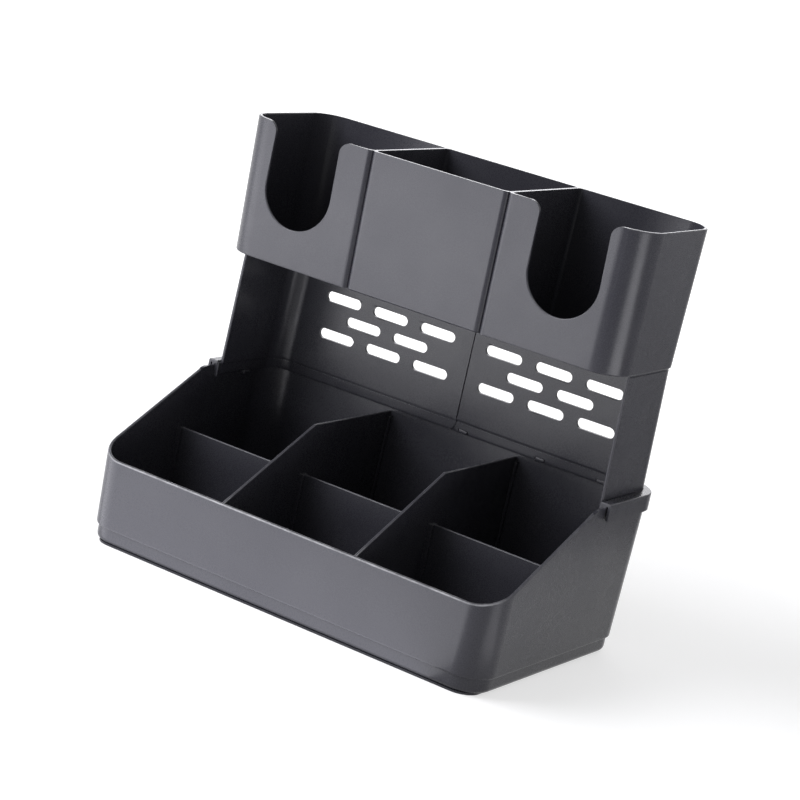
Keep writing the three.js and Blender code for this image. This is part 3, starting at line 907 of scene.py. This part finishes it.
def soft_lamp(name, power, place, azimuth, rise, size):
    """A rectangular soft lamp that shines towards an azimuth and at an angle over the horizon."""
    data = bpy.data.lights.new(name, "AREA")
    data.shape = "RECTANGLE"
    data.size, data.size_y = size
    data.energy = power
    data.color = COOL_WHITE
    lamp = bpy.data.objects.new(name, data)
    lamp.location = place
    lamp.rotation_euler = (math.radians(90 + rise), 0.0, math.radians(azimuth - 90))
    lamp.visible_camera = False
    bpy.context.scene.collection.objects.link(lamp)
    return lamp


class CADDY_OT_stage(bpy.types.Operator):
    """Makes the floor, the room light, the lamps and the camera."""

    bl_idname = "caddy.stage"
    bl_label = "Stage"

    def execute(self, context):
        scene = context.scene
        studio = scene.caddy_studio
        scene.view_settings.view_transform = "Standard"

        sheet = bmesh.new()
        bmesh.ops.create_circle(sheet, cap_ends=True, radius=FLOOR_RADIUS, segments=FLOOR_SIDES)
        data = bpy.data.meshes.new("floor")
        sheet.to_mesh(data)
        sheet.free()
        data.materials.append(floor_material(studio))
        floor = bpy.data.objects.new("floor", data)
        scene.collection.objects.link(floor)

        upright_card(
            "side_card", studio.side_card, SIDE_CARD_PLACE, SIDE_CARD_TURN, SIDE_CARD_SIZE
        )

        world = bpy.data.worlds.new("studio_room")
        world.use_nodes = True
        tree = world.node_tree
        background = tree.nodes["Background"]
        background.inputs["Color"].default_value = WHITE
        sky = shader_node(tree, "ShaderNodeTexCoord").outputs["Generated"]
        low = spread(tree, along(tree, sky, UP), *LOW_SKY_SPREAD)
        backward = along(tree, sky, around(CAMERA_SIDE + 180, 1.0, 0.0))
        behind = spread(tree, backward, *BEHIND_SPREAD)
        level = spread(tree, product(tree, low, behind), 0.0, 1.0, studio.room_light, 1.0)
        tree.links.new(level, background.inputs["Strength"])
        scene.world = world

        soft_lamp(
            "key_lamp",
            studio.key_power,
            place=around(-140, 1.2, 1.15),
            azimuth=40,
            rise=-40,
            size=(1.2, 1.2),
        )
        soft_lamp(
            "far_lamp",
            studio.far_power,
            place=(-0.73, -0.86, 0.11),
            azimuth=75,
            rise=78,
            size=(1.2, 1.0),
        )
        soft_lamp(
            "near_lamp",
            studio.near_power,
            place=(-0.1675, -0.1695, 0.0084),
            azimuth=90,
            rise=84,
            size=(0.565, 0.152),
        )
        soft_lamp(
            "side_lamp",
            studio.side_power,
            place=(0.865, -0.21, 0.08),
            azimuth=165,
            rise=78,
            size=(0.4, 0.7),
        )
        soft_lamp(
            "corner_lamp",
            studio.corner_power,
            place=(0.275, -0.098, 0.009),
            azimuth=172,
            rise=84,
            size=(0.07, 0.14),
        )
        soft_lamp(
            "back_lamp",
            studio.back_power,
            place=around(116, 1.58, 0.74),
            azimuth=-64,
            rise=-22,
            size=(1.2, 0.5),
        )

        lens = bpy.data.cameras.new("photo_camera")
        lens.sensor_width = SENSOR_MILLIMETRES
        lens.lens = studio.camera_lens
        lens.shift_x, lens.shift_y = studio.camera_shift
        lens.clip_start, lens.clip_end = VIEW_DISTANCES
        camera = bpy.data.objects.new("photo_camera", lens)
        camera.location = studio.camera_place
        camera.rotation_euler = studio.camera_turn
        scene.collection.objects.link(camera)
        scene.camera = camera
        return {"FINISHED"}


class CADDY_PT_panel(bpy.types.Panel):
    """Lists the pieces of the caddy and their settings."""

    bl_idname = "CADDY_PT_panel"
    bl_label = "Drinks caddy"
    bl_space_type = "VIEW_3D"
    bl_region_type = "UI"
    bl_category = "Caddy"

    def draw(self, context):
        layout = self.layout
        for operator in MAKERS:
            layout.operator(operator.bl_idname)
        for title, settings in (
            ("Edges", context.scene.caddy_edges),
            ("Finish", context.scene.caddy_finish),
            ("Studio", context.scene.caddy_studio),
        ):
            box = layout.box()
            box.label(text=title)
            for name in settings.bl_rna.properties.keys():
                if name not in ("rna_type", "name"):
                    box.prop(settings, name)


SETTINGS = {
    "caddy_edges": CaddyEdges,
    "caddy_finish": CaddyFinish,
    "caddy_studio": CaddyStudio,
}
MAKERS = (
    CADDY_OT_tray,
    CADDY_OT_back_panels,
    CADDY_OT_cup_bin,
    CADDY_OT_long_dividers,
    CADDY_OT_cross_dividers,
    CADDY_OT_stage,
)


def register():
    """Registers the classes and hangs the settings on the scene."""
    for kind in (*SETTINGS.values(), *MAKERS, CADDY_PT_panel):
        bpy.utils.register_class(kind)
    for name, kind in SETTINGS.items():
        setattr(bpy.types.Scene, name, PointerProperty(type=kind))


def unregister():
    """Takes away what register adds."""
    for name in SETTINGS:
        delattr(bpy.types.Scene, name)
    for kind in (CADDY_PT_panel, *reversed(MAKERS), *SETTINGS.values()):
        bpy.utils.unregister_class(kind)


def main():
    """Makes the pieces and the stage."""
    register()
    bpy.ops.caddy.tray()
    bpy.ops.caddy.back_panels()
    bpy.ops.caddy.cup_bin()
    bpy.ops.caddy.long_dividers()
    bpy.ops.caddy.cross_dividers()
    bpy.ops.caddy.stage()


if __name__ == "__main__":
    main()
